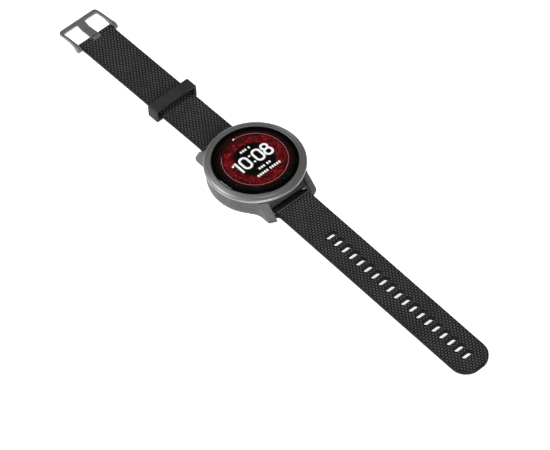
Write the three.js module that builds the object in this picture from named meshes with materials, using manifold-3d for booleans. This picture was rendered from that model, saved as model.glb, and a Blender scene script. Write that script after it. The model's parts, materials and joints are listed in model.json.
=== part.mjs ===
// GPS running watch with a two-piece silicone strap, laid out flat. Millimetres, +Z up out of the glass.
// The origin is the centre of the flat sensor window on the back. +Y is 12 o'clock, +X is 3 o'clock.
import * as THREE from "three";
import { mergeVertices } from "three/addons/utils/BufferGeometryUtils.js";
import Module from "manifold-3d";

const wasm = await Module();
wasm.setup();

// ---- driving dimensions -------------------------------------------------------------------------
const THICKNESS = 11.7; // sensor window to the top of the glass
const BEZEL_RADIUS = 21.7;
const CASE_RADIUS = 20.9;
const CASE_BOTTOM = 0.9;
const CASE_TOP = 9.1;
const CAVITY_RADIUS = 18.9;
const CAVITY_FLAT = 17.6; // half distance between the flats that back the strap recesses
const CAVITY_FLOOR = 3.8;
const LEDGE_BOTTOM = 2.3; // the ledge that the rear cover is screwed to
const LEDGE_RADIUS = 14.6; // its opening
const GLASS_RADIUS = 18.3;
const GLASS_BOTTOM = 11.0;
const LEDGE_TOP = 10.2; // the bezel's inner ledge, which carries the glass on its gasket
const COVER_RADIUS = 17.9;
const COVER_TOP = 2.0;
const SCREW_CIRCLE = 16.4;
const SCREW_COUNT = 4;
const CONTACT_COUNT = 4;
const CONTACT_PITCH = 2.5;
const CONTACT_Y = -12.4;

const LUG_GAP = 20; // between the inner faces of a pair of lugs
const LUG_SIDE = 13.1; // from the middle to a lug's outer side
const LUG_SLOPE = [
  // the lugs' shared outer surface, [radius, height] about the case's axis
  [17, 1.0],
  [25.9, 1.0],
  [26.7, 1.35],
  [27.0, 2.0],
  [26.8, 2.7],
  [26.2, 3.5],
  [24.6, 5.6],
  [22.9, 7.7],
  [22.2, 8.6],
  [21.6, CASE_TOP],
  [17, CASE_TOP],
  [17, 1.0],
];
const BAR_Y = 21.8; // spring bar axis in the lugs
const BAR_Z = 3.3;
const STRAP_RECESS = 3.0; // radius of the case's recess around the spring bar

const STRAP_WIDTH = 17.6;
const STRAP_TOP = 1.7; // above the spring bar axis
const STRAP_BOTTOM = -0.5;
const STRAP_MIDDLE = (STRAP_TOP + STRAP_BOTTOM) / 2;
const ROOT_RADIUS = 2.25; // rounded root that holds the spring bar
const BORE_RADIUS = 0.95;
const LONG_LENGTH = 115.2; // from the spring bar to the tip
const LONG_FALL = 0.0235; // fall per unit of length towards the tip
const SHORT_LENGTH = 81.1; // from the spring bar to the buckle bar
const SHORT_FALL = 0.02;
const SLOT_COUNT = 19;
const SLOT_FIRST = 25.05;
const SLOT_PITCH = 4.54;
const SLOT_LENGTH = 4.8; // across the strap
const SLOT_WIDTH = 2.15; // along the strap
const TIP_LENGTH = 8; // the rounded tip, a superellipse as wide as the strap
const TIP_POWER = 2.2;

const KEEPER_AT = 31.3; // centre, from the short strap's spring bar
const KEEPER_LENGTH = 5.6;
const KEEPER_WIDTH = 22.4;
const KEEPER_HEIGHT = 7.0;
const KEEPER_WALL = 1.2;
const KEEPER_LIFT = 0.45; // its centre above the strap's middle

const BUCKLE_HALF_GAP = 9.2; // strap side to boss, from the centre
const BUCKLE_HALF_WIDTH = 10.9; // over the bosses that hold the bar
const BUCKLE_ARM_OUTER = 10.4;
const BUCKLE_ARM_INNER = 9.3;
const BUCKLE_REACH = 13.6; // buckle bar to the front edge
const BUCKLE_WINDOW = 11.2; // buckle bar to the front bar's inner edge
const REST_HALF_WIDTH = 2.3; // the shallow rest in the front bar that takes the tang's tip
const REST_FLOOR = 0.1;
const BOSS_RADIUS = 1.5;
const HUB_RADIUS = 1.35;
const NOTCH_HALF_WIDTH = 2.5;
const NOTCH_DEPTH = 1.9; // behind the buckle bar
const TANG_HALF_WIDTH = 1.95;
const TANG_REACH = 12.7;
const BUCKLE_BORE = 0.85;

const BUTTON_Z = 5.2;
const BUTTON_LENGTH = 7.0;
const BUTTON_HEIGHT = 2.6;
const BUTTON_OUT = 22.1; // the cap's outer face
const BUTTON_IN = 19.9; // the cap's inner face at rest
const POCKET_FLOOR = 19.2;
const BUTTON_WALL = 17.7; // inner face of the case behind the button
const STEM_RADIUS = 0.7;

const ROUND = 56; // sides of the large rounds
const SMALL = 16; // sides of pins, holes and screws

const LOOKS = {
  steel: { color: 0x6e6e6c, roughness: 0.4, metalness: 0.9 },
  bright: { color: 0xb0b0b0, roughness: 0.3, metalness: 1.0 },
  resin: { color: 0x3c3e42, roughness: 0.5, metalness: 0.1 },
  silicone: { color: 0x161616, roughness: 0.75, metalness: 0 },
  seal: { color: 0x222222, roughness: 0.8, metalness: 0 },
  lens: { color: 0x101014, roughness: 0.05, metalness: 0 },
  screen: { color: 0x8a0c18, roughness: 0.3, metalness: 0 },
  board: { color: 0x123a24, roughness: 0.6, metalness: 0 },
  chip: { color: 0x151515, roughness: 0.5, metalness: 0 },
  foil: { color: 0x9a9aa0, roughness: 0.4, metalness: 0.8 },
  gold: { color: 0xc9a24a, roughness: 0.3, metalness: 1.0 },
  led: { color: 0x46c06a, roughness: 0.3, metalness: 0 },
};

// ---- solids -------------------------------------------------------------------------------------
// Turns a closed three.js geometry into a solid whose faces point out.
function solid(geometry) {
  const bare = geometry.clone();
  bare.deleteAttribute("normal");
  bare.deleteAttribute("uv");
  const merged = mergeVertices(bare, 1e-4);
  const points = merged.attributes.position.array;
  const corners = merged.index.array;
  const kept = [];
  for (let i = 0; i < corners.length; i += 3) {
    const [a, b, c] = corners.slice(i, i + 3);
    if (a !== b && b !== c && c !== a) kept.push(a, b, c);
  }
  if (signedVolume(points, kept) < 0) {
    for (let i = 0; i < kept.length; i += 3) {
      [kept[i + 1], kept[i + 2]] = [kept[i + 2], kept[i + 1]];
    }
  }
  const mesh = new wasm.Mesh({
    numProp: 3,
    vertProperties: new Float32Array(points),
    triVerts: new Uint32Array(kept),
  });
  return new wasm.Manifold(mesh);
}

function signedVolume(points, corners) {
  const at = (k) => new THREE.Vector3().fromArray(points, 3 * k);
  let sum = 0;
  for (let i = 0; i < corners.length; i += 3) {
    sum += at(corners[i]).dot(at(corners[i + 1]).cross(at(corners[i + 2])));
  }
  return sum;
}

// The outline of a solid's geometry for a mesh.
function geometryOf(body) {
  const mesh = body.getMesh();
  const geometry = new THREE.BufferGeometry();
  geometry.setAttribute("position", new THREE.BufferAttribute(new Float32Array(mesh.vertProperties), 3));
  geometry.setIndex(new THREE.BufferAttribute(new Uint32Array(mesh.triVerts), 1));
  geometry.computeVertexNormals();
  return geometry;
}

function piece(name, body, look) {
  const mesh = new THREE.Mesh(geometryOf(body), new THREE.MeshStandardMaterial(LOOKS[look]));
  mesh.name = name;
  return mesh;
}

// A profile of [radius, height] pairs turned about the Z axis.
function turned(profile, sides = ROUND) {
  const points = profile.map(([r, z]) => new THREE.Vector2(r, z));
  return solid(new THREE.LatheGeometry(points, sides).rotateX(Math.PI / 2));
}

// The same about the X axis, with [radius, x] pairs.
function turnedX(profile, y = 0, z = 0, sides = SMALL) {
  const points = profile.map(([r, x]) => new THREE.Vector2(r, x));
  return solid(new THREE.LatheGeometry(points, sides).rotateZ(-Math.PI / 2).translate(0, y, z));
}

function ring(inner, outer, low, high, sides = ROUND) {
  const profile = [
    [inner, low],
    [outer, low],
    [outer, high],
    [inner, high],
    [inner, low],
  ];
  return turned(profile, sides);
}

function disc(radius, low, high, x = 0, y = 0, sides = SMALL) {
  const geometry = new THREE.CylinderGeometry(radius, radius, high - low, sides);
  return solid(geometry.rotateX(Math.PI / 2).translate(x, y, (low + high) / 2));
}

function rod(radius, x0, x1, y = 0, z = 0, sides = SMALL) {
  const geometry = new THREE.CylinderGeometry(radius, radius, x1 - x0, sides);
  return solid(geometry.rotateZ(Math.PI / 2).translate((x0 + x1) / 2, y, z));
}

function block(x0, x1, y0, y1, z0, z1) {
  const geometry = new THREE.BoxGeometry(x1 - x0, y1 - y0, z1 - z0);
  return solid(geometry.translate((x0 + x1) / 2, (y0 + y1) / 2, (z0 + z1) / 2));
}

// An outline in the XY plane, raised from one height to another.
function raised(outline, low, high, curveSegments = 6) {
  const geometry = new THREE.ExtrudeGeometry(outline, {
    depth: high - low,
    bevelEnabled: false,
    curveSegments,
  });
  return solid(geometry.translate(0, 0, low));
}

// An outline in the YZ plane, drawn out along X.
function drawnAcross(outline, x0, x1, curveSegments = 6) {
  const geometry = new THREE.ExtrudeGeometry(outline, {
    depth: x1 - x0,
    bevelEnabled: false,
    curveSegments,
  });
  const turn = new THREE.Matrix4().makeBasis(
    new THREE.Vector3(0, 1, 0),
    new THREE.Vector3(0, 0, 1),
    new THREE.Vector3(1, 0, 0),
  );
  return solid(geometry.applyMatrix4(turn).translate(x0, 0, 0));
}

function roundedBox(width, height, radius, x = 0, y = 0) {
  const shape = new THREE.Shape();
  const right = x + width / 2;
  const left = x - width / 2;
  const top = y + height / 2;
  const low = y - height / 2;
  shape.moveTo(left + radius, low);
  shape.lineTo(right - radius, low);
  shape.absarc(right - radius, low + radius, radius, -Math.PI / 2, 0);
  shape.lineTo(right, top - radius);
  shape.absarc(right - radius, top - radius, radius, 0, Math.PI / 2);
  shape.lineTo(left + radius, top);
  shape.absarc(left + radius, top - radius, radius, Math.PI / 2, Math.PI);
  shape.lineTo(left, low + radius);
  shape.absarc(left + radius, low + radius, radius, Math.PI, 1.5 * Math.PI);
  return shape;
}

// A helical spring along X.
class Helix extends THREE.Curve {
  constructor(radius, x0, x1, turns) {
    super();
    Object.assign(this, { radius, x0, x1, turns });
  }

  getPoint(t) {
    const angle = 2 * Math.PI * this.turns * t;
    const x = this.x0 + (this.x1 - this.x0) * t;
    return new THREE.Vector3(x, this.radius * Math.cos(angle), this.radius * Math.sin(angle));
  }
}

function coil(radius, wire, x0, x1, turns) {
  const section = new THREE.Shape();
  section.absarc(0, 0, wire, 0, 2 * Math.PI);
  const stepsPerTurn = 7;
  const geometry = new THREE.ExtrudeGeometry(section, {
    extrudePath: new Helix(radius, x0, x1, turns),
    steps: turns * stepsPerTurn,
    curveSegments: 3,
    bevelEnabled: false,
  });
  return solid(geometry);
}

function aroundCircle(radius, turn) {
  return [radius * Math.cos(turn), radius * Math.sin(turn)];
}

// ---- case and what it holds ---------------------------------------------------------------------
// One lug: a slab of the shared outer surface, beside the strap. signX and signY choose the corner.
function lug(signX, signY) {
  const inner = LUG_GAP / 2;
  const corner = 0.8;
  const plan = new THREE.Shape();
  plan.moveTo(inner, 12);
  plan.lineTo(inner, 27);
  plan.lineTo(LUG_SIDE - corner, 27);
  plan.lineTo(LUG_SIDE - corner, 24.2);
  plan.quadraticCurveTo(LUG_SIDE, 23.8, LUG_SIDE, 22.6);
  plan.lineTo(LUG_SIDE, 18);
  plan.quadraticCurveTo(LUG_SIDE, 16.2, LUG_SIDE + 1.6, 14.6);
  plan.lineTo(LUG_SIDE + 1.6, 12);
  const shape = raised(plan, 0, CASE_TOP + 1).intersect(turned(LUG_SLOPE));
  return shape.scale([signX, signY, 1]);
}

function screwSpots() {
  return Array.from({ length: SCREW_COUNT }, (_, i) => {
    return aroundCircle(SCREW_CIRCLE, ((i + 0.5) * 2 * Math.PI) / SCREW_COUNT);
  });
}

function buttonOutline(clearance) {
  const height = BUTTON_HEIGHT + 2 * clearance;
  return roundedBox(BUTTON_LENGTH + 2 * clearance, height, height / 2 - 0.01, 0, BUTTON_Z);
}

function caseBody() {
  const profile = [
    [0, CASE_BOTTOM],
    [20.0, CASE_BOTTOM],
    [20.45, 1.15],
    [20.7, 1.8],
    [20.85, 2.7],
    [CASE_RADIUS, 3.7],
    [CASE_RADIUS, CASE_TOP],
    [0, CASE_TOP],
  ];
  let body = turned(profile);
  for (const signX of [-1, 1]) {
    for (const signY of [-1, 1]) body = body.add(lug(signX, signY));
  }
  const cavity = disc(CAVITY_RADIUS, CAVITY_FLOOR, CASE_TOP + 1, 0, 0, ROUND).intersect(
    block(-CAVITY_RADIUS, BUTTON_WALL, -CAVITY_FLAT, CAVITY_FLAT, 0, CASE_TOP + 1),
  );
  body = body
    .subtract(cavity)
    .subtract(disc(COVER_RADIUS + 0.15, 0, LEDGE_BOTTOM, 0, 0, ROUND))
    .subtract(disc(LEDGE_RADIUS, LEDGE_BOTTOM - 0.5, CAVITY_FLOOR + 0.5, 0, 0, ROUND));
  for (const [x, y] of screwSpots()) {
    body = body.subtract(disc(0.75, LEDGE_BOTTOM - 0.5, 3.5, x, y));
  }
  const inner = LUG_GAP / 2;
  const tipHole = 1.4; // depth of the hole in each lug for the spring bar's tip
  for (const y of [-BAR_Y, BAR_Y]) {
    body = body
      .subtract(rod(STRAP_RECESS, -inner, inner, y, BAR_Z, 32))
      .subtract(rod(0.6, -inner - tipHole, inner + tipHole, y, BAR_Z));
  }
  return body
    .subtract(drawnAcross(buttonOutline(0.2), POCKET_FLOOR, 23))
    .subtract(rod(STEM_RADIUS + 0.15, BUTTON_WALL - 0.5, POCKET_FLOOR + 0.5, 0, BUTTON_Z))
    .subtract(rod(1.2, POCKET_FLOOR - 1, POCKET_FLOOR + 0.5, 0, BUTTON_Z));
}

function bezel() {
  const underside = CASE_TOP + 0.1;
  const profile = [
    [17.2, underside],
    [21.3, underside],
    [BEZEL_RADIUS, 9.55],
    [BEZEL_RADIUS, 10.15],
    [21.35, 10.62],
    [20.3, 11.08],
    [20.15, 10.97],
    [20.0, 11.02],
    [19.9, 11.2],
    [18.6, THICKNESS - 0.2],
    [18.45, THICKNESS - 0.3],
    [18.45, LEDGE_TOP],
    [17.2, LEDGE_TOP],
    [17.2, underside],
  ];
  return turned(profile, 60);
}

function glass() {
  const profile = [
    [0, GLASS_BOTTOM],
    [GLASS_RADIUS, GLASS_BOTTOM],
    [GLASS_RADIUS, THICKNESS - 0.25],
    [GLASS_RADIUS - 0.35, THICKNESS],
    [0, THICKNESS],
  ];
  return turned(profile, 60);
}

// The strip that joins the display to the main board.
function displayFlex() {
  const outline = new THREE.Shape();
  const thick = 0.15;
  outline.moveTo(-11, 7.5);
  outline.lineTo(-9, 7.5);
  outline.lineTo(-9, 7.5 + thick);
  outline.lineTo(-10.6, 7.5 + thick);
  outline.quadraticCurveTo(-11.6, 8.1, -10.6, 8.8 - thick);
  outline.lineTo(-9, 8.8 - thick);
  outline.lineTo(-9, 8.8);
  outline.lineTo(-11, 8.8);
  outline.quadraticCurveTo(-12.6, 8.15, -11, 7.5);
  return drawnAcross(outline, -3, 3);
}

function shieldCan() {
  const wall = 0.25;
  const outside = block(-6.5, 6.5, -5.5, 5.5, 7.5, 8.45);
  const inside = block(-6.5 + wall, 6.5 - wall, -5.5 + wall, 5.5 - wall, 7, 8.45 - wall);
  return outside.subtract(inside);
}

function antenna() {
  const from = 0.72 * Math.PI;
  const to = 1.28 * Math.PI;
  const strip = new THREE.Shape();
  strip.absarc(0, 0, 18.5, from, to, false);
  strip.absarc(0, 0, 17.7, to, from, true);
  return raised(strip, 7.5, 8.3, 16);
}

function rearCover() {
  const profile = [
    [8.75, CASE_BOTTOM],
    [COVER_RADIUS - 0.3, CASE_BOTTOM],
    [COVER_RADIUS, CASE_BOTTOM + 0.3],
    [COVER_RADIUS, COVER_TOP],
    [8.75, COVER_TOP],
    [8.75, CASE_BOTTOM],
  ];
  let cover = turned(profile);
  for (const [x, y] of screwSpots()) {
    cover = cover.subtract(disc(0.8, 0, 3, x, y)).subtract(disc(1.2, 0, 1.5, x, y));
  }
  cover = cover.subtract(raised(roundedBox(10.8, 3.6, 1.2, 0, CONTACT_Y), 0, 1.4));
  for (const x of contactSpots()) cover = cover.subtract(disc(0.8, 0, 3, x, CONTACT_Y));
  return cover;
}

function contactSpots() {
  return Array.from({ length: CONTACT_COUNT }, (_, i) => (i - (CONTACT_COUNT - 1) / 2) * CONTACT_PITCH);
}

function sensorWindow() {
  const profile = [
    [0, 0],
    [6.2, 0],
    [7.4, 0.25],
    [8.2, 0.7],
    [8.55, 1.2],
    [8.55, COVER_TOP + 0.05],
    [9.4, COVER_TOP + 0.05],
    [9.4, 2.5],
    [7.6, 2.5],
    [7.6, 1.3],
    [0, 1.3],
  ];
  return turned(profile, 40);
}

function caseScrew(x, y) {
  const head = disc(1.05, 0.95, 1.45, x, y);
  const shank = disc(0.6, 1.4, 3.3, x, y);
  const drive = raised(roundedBox(1.2, 0.3, 0.05, x, y), 0.5, 1.2, 2);
  return head.add(shank).subtract(drive);
}

function chargeContact(x) {
  const profile = [
    [0, 1.15],
    [0.4, 1.15],
    [0.6, 1.35],
    [0.6, 2.6],
    [0, 2.6],
  ];
  return turned(profile, 16).translate([x, CONTACT_Y, 0]);
}

function caseGroup() {
  const group = new THREE.Group();
  group.add(
    piece("case_body", caseBody(), "resin"),
    piece("bezel", bezel(), "steel"),
    piece("bezel_gasket", ring(17.35, 18.2, LEDGE_TOP + 0.1, GLASS_BOTTOM - 0.1), "seal"),
    piece("glass", glass(), "lens"),
    piece("display_panel", disc(16.9, 10.2, GLASS_BOTTOM - 0.1, 0, 0, ROUND), "screen"),
    piece("display_frame", ring(13.5, 16.9, 8.9, 10.1, 48), "chip"),
    piece("display_flex", displayFlex(), "gold"),
    piece("main_board", disc(17.35, 6.6, 7.4, 0, 0, 48), "board"),
    piece("shield_can", shieldCan(), "foil"),
    piece("gps_receiver", block(-2.5, 2.5, -2.5, 2.5, 7.5, 8.1), "chip"),
    piece("gps_antenna", antenna(), "gold"),
    piece("battery", raised(roundedBox(17, 22, 2, -4.8, 0), 3.9, 6.4), "foil"),
    piece("vibration_motor", disc(4, 3.9, 6.3, 9.2, -8, 32), "foil"),
    piece("sensor_board", disc(8, 2.7, 3.3, 0, 0, 32), "board"),
    piece("photodiode", block(-1.4, 1.4, -1.4, 1.4, 1.7, 2.6), "chip"),
    piece("sensor_led_1", block(-4.6, -3.2, -0.7, 0.7, 1.8, 2.6), "led"),
    piece("sensor_led_2", block(3.2, 4.6, -0.7, 0.7, 1.8, 2.6), "led"),
    piece("sensor_window", sensorWindow(), "lens"),
    piece("rear_cover", rearCover(), "resin"),
    piece("back_gasket", ring(14.9, 15.4, COVER_TOP + 0.05, LEDGE_BOTTOM - 0.05, 48), "seal"),
  );
  screwSpots().forEach(([x, y], i) => group.add(piece("case_screw_" + (i + 1), caseScrew(x, y), "bright")));
  contactSpots().forEach((x, i) => group.add(piece("charge_contact_" + (i + 1), chargeContact(x), "gold")));
  return group;
}

// ---- button -------------------------------------------------------------------------------------
function buttonCap() {
  const edge = 0.35; // softened edge of the outer face
  const cap = drawnAcross(buttonOutline(0), BUTTON_IN, BUTTON_OUT - edge).add(
    drawnAcross(buttonOutline(-edge / 2), BUTTON_OUT - edge - 0.1, BUTTON_OUT),
  );
  return cap.add(rod(STEM_RADIUS, 16.4, BUTTON_IN + 0.2, 0, BUTTON_Z));
}

function turnedRingX(inner, outer, x0, x1) {
  const profile = [
    [inner, x0],
    [outer, x0],
    [outer, x1],
    [inner, x1],
    [inner, x0],
  ];
  return turnedX(profile, 0, BUTTON_Z);
}

function buttonDome() {
  const profile = [
    [0, 16.1],
    [0.9, 15.98],
    [1.5, 15.75],
    [1.5, 15.6],
    [1.3, 15.6],
    [0.8, 15.82],
    [0, 15.94],
  ];
  return turnedX(profile, 0, BUTTON_Z);
}

function buttonGroup() {
  const group = new THREE.Group();
  group.add(
    piece("button_cap", buttonCap(), "steel"),
    piece("button_clip", turnedRingX(STEM_RADIUS + 0.05, 1.15, 17.15, 17.45), "bright"),
    piece("button_seal", turnedRingX(STEM_RADIUS + 0.05, 1.1, 18.35, 18.95), "seal"),
    piece("button_dome", buttonDome(), "bright"),
    piece("button_switch", block(13.8, 15.5, -2, 2, 4.1, 6.3), "chip"),
  );
  return group;
}

// ---- spring bars --------------------------------------------------------------------------------
// Each bar lies along X: a tube with a fixed tip at +X, and a sprung plunger at -X.
function springBar(prefix, { halfTube, tipReach, radius, lever }) {
  const bore = radius - 0.22;
  const boreEnd = 1; // the bore runs from the -X end to here
  const tubeProfile = [
    [0, tipReach],
    [0.38, tipReach],
    [0.38, halfTube],
    [radius, halfTube],
    [radius, -halfTube],
    [bore, -halfTube],
    [bore, boreEnd],
    [0, boreEnd],
  ];
  let tube = turnedX(tubeProfile);
  let plunger = rod(0.33, -tipReach, -3, 0, 0, 12);
  if (lever) {
    const turn = LEVER_TILT * THREE.MathUtils.RAD2DEG;
    tube = tube.subtract(block(-8.5, -5.7, -0.45, 0.45, 0, 2).rotate([turn, 0, 0]));
    const arm = block(-7.85, -7.25, -0.25, 0.25, 0, 2.2);
    const knob = raised(roundedBox(1.5, 1.3, 0.4, -7.55, 0), STRAP_TOP + 0.35, STRAP_TOP + 0.95, 3);
    plunger = plunger.add(arm.add(knob).rotate([turn, 0, 0]));
  }
  const group = new THREE.Group();
  group.add(
    piece(prefix + "_tube", tube, "bright"),
    piece(prefix + "_plunger", plunger, "bright"),
    piece(prefix + "_spring", coil(0.24, 0.07, -2.8, 0.8, 5), "bright"),
  );
  return group;
}

const LEVER_TILT = 0.34; // the quick-release lever leans towards the case

const LUG_BAR = { halfTube: 9.4, tipReach: LUG_GAP / 2 + 1.1, radius: 0.75, lever: true };
const BUCKLE_BAR = { halfTube: 8.9, tipReach: BUCKLE_HALF_GAP + 1, radius: 0.62, lever: false };

// ---- straps -------------------------------------------------------------------------------------
// Side view of a strap from its spring bar outwards, with the deep rounded root.
function strapSide(length) {
  const rootMiddle = STRAP_TOP - ROOT_RADIUS;
  const side = new THREE.Shape();
  side.moveTo(0, STRAP_TOP);
  side.lineTo(length, STRAP_TOP);
  side.lineTo(length, STRAP_BOTTOM);
  side.lineTo(4.2, STRAP_BOTTOM);
  side.quadraticCurveTo(2.4, STRAP_BOTTOM, 1.9, rootMiddle - 1.2);
  side.absarc(0, rootMiddle, ROOT_RADIUS, -0.18 * Math.PI, -1.5 * Math.PI, true);
  return side;
}

// What every strap loses at its root: the bar's bore and the lever's slot.
function rootCuts() {
  const reach = STRAP_WIDTH / 2 + 1;
  const turn = LEVER_TILT * THREE.MathUtils.RAD2DEG;
  const slot = block(-8.6, -5.6, -0.55, 0.55, 0, 4).rotate([turn, 0, 0]);
  return rod(BORE_RADIUS, -reach, reach).add(slot);
}

// Plan of the long strap: straight sides, then a superellipse around the tip.
function longPlan() {
  const half = STRAP_WIDTH / 2;
  const steps = 24;
  const start = LONG_LENGTH - TIP_LENGTH;
  const plan = new THREE.Shape();
  plan.moveTo(-half, -5);
  plan.lineTo(half, -5);
  for (let i = 0; i <= steps; i++) {
    const turn = (Math.PI * i) / steps;
    const across = Math.abs(Math.cos(turn)) ** (2 / TIP_POWER);
    const along = Math.sin(turn) ** (2 / TIP_POWER);
    plan.lineTo(half * across * Math.sign(Math.cos(turn)), start + TIP_LENGTH * along);
  }
  return plan;
}

function strapLong() {
  const half = STRAP_WIDTH / 2;
  let strap = drawnAcross(strapSide(LONG_LENGTH + 1), -half, half, 10)
    .intersect(raised(longPlan(), -5, 5))
    .subtract(rootCuts());
  for (let i = 0; i < SLOT_COUNT; i++) {
    const outline = roundedBox(SLOT_LENGTH, SLOT_WIDTH, SLOT_WIDTH / 2 - 0.05, 0, SLOT_FIRST + i * SLOT_PITCH);
    strap = strap.subtract(raised(outline, -2, 3, 2));
  }
  return strap;
}

function strapShort() {
  const half = STRAP_WIDTH / 2;
  const loop = 1.5; // radius of the strap's end around the buckle bar
  const nose = 1.2; // radius of its outer edge
  return drawnAcross(strapSide(SHORT_LENGTH), -half, half, 10)
    .add(rod(loop, -half, half, SHORT_LENGTH, STRAP_MIDDLE, 28))
    .add(rod(nose, -half, half, SHORT_LENGTH + 0.7, STRAP_MIDDLE, 28))
    .subtract(rootCuts())
    .subtract(rod(BUCKLE_BORE, -half - 1, half + 1, SHORT_LENGTH, STRAP_MIDDLE))
    .subtract(
      block(-NOTCH_HALF_WIDTH, NOTCH_HALF_WIDTH, SHORT_LENGTH - NOTCH_DEPTH, SHORT_LENGTH + 3, -2, 4),
    );
}

function keeperLoop() {
  const middle = STRAP_MIDDLE + KEEPER_LIFT;
  const corner = 0.9;
  const outside = roundedBox(KEEPER_WIDTH, KEEPER_HEIGHT, corner);
  const opening = roundedBox(
    KEEPER_WIDTH - 2 * KEEPER_WALL,
    KEEPER_HEIGHT - 2 * KEEPER_WALL,
    corner / 2,
  );
  outside.holes.push(opening);
  const geometry = new THREE.ExtrudeGeometry(outside, {
    depth: KEEPER_LENGTH,
    bevelEnabled: false,
    curveSegments: 5,
  });
  geometry.rotateX(Math.PI / 2);
  return solid(geometry.translate(0, KEEPER_AT + KEEPER_LENGTH / 2, middle));
}

// ---- buckle, about its own bar ------------------------------------------------------------------
// The frame's plan: thin arms that step out to a boss at each end of the bar, and a wider front bar.
function bucklePlan() {
  const wide = BUCKLE_HALF_WIDTH;
  const gap = BUCKLE_HALF_GAP;
  const outer = BUCKLE_ARM_OUTER;
  const inner = BUCKLE_ARM_INNER;
  const plan = new THREE.Shape();
  plan.moveTo(gap, -2);
  plan.lineTo(wide, -2);
  plan.lineTo(wide, 0.6);
  plan.quadraticCurveTo(outer - 0.1, 3.5, outer, 7);
  plan.lineTo(outer, BUCKLE_REACH - 2.2);
  plan.quadraticCurveTo(outer, BUCKLE_REACH, outer - 2.6, BUCKLE_REACH);
  plan.lineTo(2.6 - outer, BUCKLE_REACH);
  plan.quadraticCurveTo(-outer, BUCKLE_REACH, -outer, BUCKLE_REACH - 2.2);
  plan.lineTo(-outer, 7);
  plan.quadraticCurveTo(0.1 - outer, 3.5, -wide, 0.6);
  plan.lineTo(-wide, -2);
  plan.lineTo(-gap, -2);
  plan.lineTo(-gap, 1.6);
  plan.quadraticCurveTo(-inner, 3.5, -inner, 6);
  plan.lineTo(-inner, BUCKLE_WINDOW - 1);
  plan.quadraticCurveTo(-inner, BUCKLE_WINDOW, 1.2 - inner, BUCKLE_WINDOW);
  plan.lineTo(inner - 1.2, BUCKLE_WINDOW);
  plan.quadraticCurveTo(inner, BUCKLE_WINDOW, inner, BUCKLE_WINDOW - 1);
  plan.lineTo(inner, 6);
  plan.quadraticCurveTo(inner, 3.5, gap, 1.6);
  return plan;
}

// The frame's side view: a shallow arch from the bosses down to the thin front bar.
function buckleSide() {
  const front = BUCKLE_REACH;
  const side = new THREE.Shape();
  side.moveTo(0, BOSS_RADIUS);
  side.quadraticCurveTo(6, 1.9, 11.0, 0.65);
  side.lineTo(front - 0.7, 0.4);
  side.quadraticCurveTo(front, 0.25, front, -0.15);
  side.quadraticCurveTo(front, -0.75, front - 0.8, -0.75);
  side.lineTo(11.0, -0.5);
  side.quadraticCurveTo(6, 0.5, 2.2, -0.75);
  side.quadraticCurveTo(1.2, -BOSS_RADIUS, 0, -BOSS_RADIUS);
  side.absarc(0, 0, BOSS_RADIUS, -Math.PI / 2, -1.5 * Math.PI, true);
  return side;
}

function buckleFrame() {
  const tipHole = BUCKLE_HALF_GAP + 1.2;
  const rest = roundedBox(2 * REST_HALF_WIDTH, 3.2, 0.3, 0, BUCKLE_WINDOW + 0.3);
  return raised(bucklePlan(), -3, 3, 6)
    .intersect(drawnAcross(buckleSide(), -BUCKLE_HALF_WIDTH - 1, BUCKLE_HALF_WIDTH + 1, 7))
    .subtract(raised(rest, REST_FLOOR, 3))
    .subtract(rod(0.6, -tipHole, tipHole));
}

// The tang's side view: rolled around the bar, dipping behind it, then up onto the front bar's rest.
function tangSide() {
  const reach = TANG_REACH;
  const side = new THREE.Shape();
  side.moveTo(1.28, 0.42);
  side.lineTo(1.6, 1.0);
  side.quadraticCurveTo(3.8, 0.9, 6.0, 0.45);
  side.quadraticCurveTo(7.2, 0.2, 8.2, 0.6);
  side.quadraticCurveTo(9.3, 1.1, 10.4, 1.15);
  side.lineTo(reach - 0.7, 1.1);
  side.quadraticCurveTo(reach, 1.05, reach, 0.6);
  side.lineTo(reach - 0.3, 0.4);
  side.lineTo(10.4, 0.4);
  side.quadraticCurveTo(9.4, 0.3, 8.5, -0.15);
  side.quadraticCurveTo(7.2, -0.7, 6.0, -0.45);
  side.quadraticCurveTo(3.8, 0.0, 1.3, -0.36);
  side.absarc(0, 0, HUB_RADIUS, -0.086 * Math.PI, -1.9 * Math.PI, true);
  return side;
}

function buckleTang() {
  const half = TANG_HALF_WIDTH;
  const shoulder = TANG_REACH - 0.9;
  const plan = new THREE.Shape();
  plan.moveTo(-half, -2);
  plan.lineTo(half, -2);
  plan.lineTo(half, shoulder);
  plan.quadraticCurveTo(half, TANG_REACH, 0, TANG_REACH);
  plan.quadraticCurveTo(-half, TANG_REACH, -half, shoulder);
  return raised(plan, -3, 3)
    .intersect(drawnAcross(tangSide(), -4, 4, 6))
    .subtract(rod(BUCKLE_BORE, -4, 4));
}

// ---- assembly -----------------------------------------------------------------------------------
// A strap half: turned about Z to its side of the case, then tilted down about its spring bar.
function strapHalf(signY, fall, members) {
  const side = new THREE.Group();
  side.position.set(0, signY * BAR_Y, BAR_Z);
  side.rotation.z = signY > 0 ? 0 : Math.PI;
  const tilted = new THREE.Group();
  tilted.rotation.x = -Math.atan(fall);
  tilted.add(...members);
  side.add(tilted);
  return side;
}

const buckle = new THREE.Group();
buckle.position.set(0, SHORT_LENGTH, STRAP_MIDDLE);
buckle.add(
  piece("buckle_frame", buckleFrame(), "steel"),
  piece("buckle_tang", buckleTang(), "steel"),
  springBar("buckle_bar", BUCKLE_BAR),
);

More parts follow.
